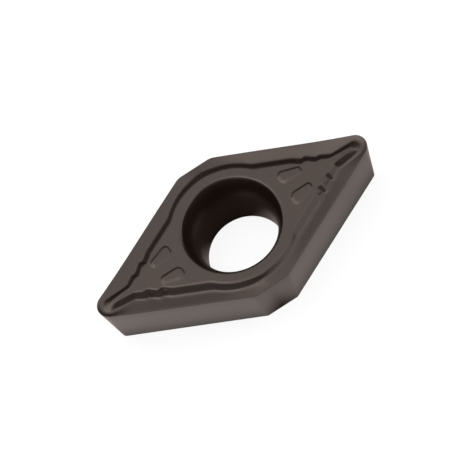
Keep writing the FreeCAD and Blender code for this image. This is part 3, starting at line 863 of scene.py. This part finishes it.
across = add_node(tree, "ShaderNodeSeparateXYZ")
stronger_left = add_node(tree, "ShaderNodeMapRange", {"From Min": -GLOW_SPAN, "From Max": GLOW_SPAN,
                                                      "To Min": GLOW_LEFT, "To Max": GLOW_RIGHT})
side_glow = add_node(tree, "ShaderNodeEmission")
link(spot.outputs["Object"], across.inputs[0])
link(across.outputs["X"], stronger_left.inputs["Value"])
link(stronger_left.outputs["Result"], side_glow.inputs["Strength"])
# Painted light in reflections: black under the insert, a painted shadow, then the glow round it
link(by_distance([(3.9, BLACK), (4.8, GLOW_TINT), (8, GLOW_TINT), (12, BLACK)]), side_glow.inputs["Color"])

aside = add_node(tree, "ShaderNodeSeparateXYZ")
stronger_aside = add_node(tree, "ShaderNodeMapRange", {"From Min": HOLE_GLOW_START,
                                                       "From Max": HOLE_GLOW_FULL})
hole_glow = add_node(tree, "ShaderNodeEmission")
link(folded.outputs["Vector"], aside.inputs[0])
link(aside.outputs["X"], stronger_aside.inputs["Value"])
link(stronger_aside.outputs["Result"], hole_glow.inputs["Strength"])
# Painted light for the hole's side walls to mirror, none in its middle
link(by_distance([(2.4, HOLE_GLOW), (3.2, BLACK)]), hole_glow.inputs["Color"])

both_glows = add_node(tree, "ShaderNodeAddShader")
if_mirrored = add_node(tree, "ShaderNodeMixShader")
for_light = add_node(tree, "ShaderNodeAddShader")
link(side_glow.outputs[0], both_glows.inputs[0])
link(hole_glow.outputs[0], both_glows.inputs[1])
link(ray.outputs["Is Glossy Ray"], if_mirrored.inputs["Fac"])
link(both_glows.outputs[0], if_mirrored.inputs[2])
link(matt.outputs[0], for_light.inputs[0])
link(if_mirrored.outputs[0], for_light.inputs[1])
print(f"mirrored glow {GLOW_LEFT} on the left, {GLOW_RIGHT} on the right")

# %% [markdown]
# The last part is to be clear, in two cases. Seen from below, the floor lets the camera look through, so
# that the insert's seat face can be seen. And a ray that is shorter than a tenth of a millimetre comes
# from that face itself, which lies on the paper: it passes too, or else the face would mirror the glow
# just below it in blotches.

# %% The floor from below, and its mesh
SEAT_LOOKS_THROUGH = 0.1 * MM
FLOOR_REACH = 0.6
FLOOR_GAP = 0.01 * MM

by_kind = add_node(tree, "ShaderNodeMixShader")
link(seen_directly.outputs[0], by_kind.inputs["Fac"])
link(for_light.outputs[0], by_kind.inputs[1])
link(for_camera.outputs[0], by_kind.inputs[2])

from_below = add_node(tree, "ShaderNodeNewGeometry")
from_seat = add_node(tree, "ShaderNodeMath", {1: SEAT_LOOKS_THROUGH}, operation="LESS_THAN")
either = add_node(tree, "ShaderNodeMath", operation="MAXIMUM")
clear = add_node(tree, "ShaderNodeBsdfTransparent")
if_clear = add_node(tree, "ShaderNodeMixShader")
output = add_node(tree, "ShaderNodeOutputMaterial")
link(ray.outputs["Ray Length"], from_seat.inputs[0])
link(from_below.outputs["Backfacing"], either.inputs[0])
link(from_seat.outputs[0], either.inputs[1])
link(either.outputs[0], if_clear.inputs["Fac"])
link(by_kind.outputs[0], if_clear.inputs[1])
link(clear.outputs[0], if_clear.inputs[2])
link(if_clear.outputs[0], output.inputs["Surface"])

floor_mesh = bpy.data.meshes.new("floor")
floor_mesh.from_pydata([(x * FLOOR_REACH, y * FLOOR_REACH, -FLOOR_GAP)
                        for x, y in ((-1, -1), (1, -1), (1, 1), (-1, 1))], [], [(0, 1, 2, 3)])
floor_mesh.materials.append(paper)
floor = bpy.data.objects.new("floor", floor_mesh)
bpy.context.scene.collection.objects.link(floor)
print(f"floor of {2 * FLOOR_REACH:.1f} m, {len(tree.nodes)} nodes")

# %% [markdown]
# Product pictures of small metal parts are lit by large soft boxes, because a dull metal shows its
# surroundings. The largest hangs above and a little behind the insert and gives the bright top, a smaller
# and brighter one stands high on the left, and a large one to the right lights the flanks. Four weak ones
# fill in. The side where the photographer stands stays dim, which draws the dark walls.

# %% Soft boxes
LAMP_DISTANCE = 1.2
# Name, azimuth from the front to the right, elevation, width and height in metres, radiance
SOFT_BOXES = (
    ("box_above", -176, 78, 1.35, 1.6, 0.9),
    ("box_top_left", -112, 60, 0.9, 0.8, 1.15),
    ("box_top_front", 10, 80, 0.8, 0.6, 0.25),
    ("box_back_left", -148, 32, 0.86, 0.5, 0.4),
    ("box_right", 67, 38, 1.6, 1.2, 0.93),
    ("box_front", -5, 28, 0.8, 0.5, 0.18),
    ("box_left", -52, 30, 0.9, 1.0, 0.22),
)


def direction(azimuth, elevation):
    """The unit vector from the insert towards an azimuth and an elevation, given in degrees.

    It starts at the front, -Y, turns to the right by the azimuth and rises by the elevation:
    (sin turn cos rise, -cos turn cos rise, sin rise).
    """
    turn, rise = math.radians(azimuth), math.radians(elevation)
    return Vector((math.sin(turn) * math.cos(rise), -math.cos(turn) * math.cos(rise), math.sin(rise)))


def soft_box(name, azimuth, elevation, width, height, radiance):
    """An area lamp that looks at the insert. Its power is its radiance times its area times pi."""
    away = direction(azimuth, elevation)
    data = bpy.data.lights.new(name, "AREA")
    data.shape = "RECTANGLE"
    data.size, data.size_y = width, height
    data.energy = radiance * width * height * math.pi
    lamp = bpy.data.objects.new(name, data)
    lamp.location = away * LAMP_DISTANCE
    lamp.rotation_mode = "QUATERNION"
    lamp.rotation_quaternion = away.to_track_quat("Z", "Y")
    lamp.visible_camera = False
    bpy.context.scene.collection.objects.link(lamp)
    return data.energy


powers = [soft_box(*box) for box in SOFT_BOXES]
print(f"{len(powers)} soft boxes with {sum(powers):.1f} W in all")

# %% [markdown]
# Between the soft boxes the room is a dim, even grey, which keeps the darkest walls from going black. The
# camera sees white there instead, as behind an object on a sweep of paper.

# %% The room
ROOM_GREY = 0.12

world = bpy.data.worlds.new("studio")
bpy.context.scene.world = world
world.use_nodes = True
tree = world.node_tree
tree.nodes.clear()
link = tree.links.new
output = add_node(tree, "ShaderNodeOutputWorld")
room = add_node(tree, "ShaderNodeBackground", {"Color": (1, 1, 1, 1), "Strength": ROOM_GREY})
white = add_node(tree, "ShaderNodeBackground", {"Color": (1, 1, 1, 1), "Strength": 1.0})
choice = add_node(tree, "ShaderNodeMixShader")
ray = add_node(tree, "ShaderNodeLightPath")
link(ray.outputs["Is Camera Ray"], choice.inputs["Fac"])
link(room.outputs[0], choice.inputs[1])
link(white.outputs[0], choice.inputs[2])
link(choice.outputs[0], output.inputs["Surface"])
print(f"the room lights with {ROOM_GREY}, and the camera sees it white")

# %% [markdown]
# The camera looks down on the insert from in front through a very long lens, and it is rolled, so that
# the long diagonal climbs to the right across the picture. The place was found by matching the outline
# of the insert in the photograph. Colours are shown as they are, with the Standard view transform.

# %% The camera
# Millimetres and degrees, as on the insert; the lens is in millimetres on a film 36 mm wide
AIM = (-0.082, 1.175, 0.635)
CAMERA_DISTANCE = 400.0
CAMERA_AZIMUTH = -2.105
CAMERA_ELEVATION = 61.524
CAMERA_ROLL = -30.983
CAMERA_LENS = 514.25

back = direction(CAMERA_AZIMUTH, CAMERA_ELEVATION)
turn, roll = math.radians(CAMERA_AZIMUTH), math.radians(CAMERA_ROLL)
level = Vector((math.cos(turn), math.sin(turn), 0))
right = level * math.cos(roll) + back.cross(level) * math.sin(roll)
up = back.cross(right)
camera_data = bpy.data.cameras.new("camera")
camera_data.lens = CAMERA_LENS
camera_data.clip_start = 0.05
camera_data.clip_end = 10.0
camera = bpy.data.objects.new("camera", camera_data)
bpy.context.scene.collection.objects.link(camera)
turned_to = Matrix((right, up, back)).transposed().to_4x4()
camera.matrix_world = Matrix.Translation(Vector(AIM) * MM + back * CAMERA_DISTANCE * MM) @ turned_to
bpy.context.scene.camera = camera
bpy.context.scene.view_settings.view_transform = "Standard"
print("camera at", [round(value, 4) for value in camera.location])
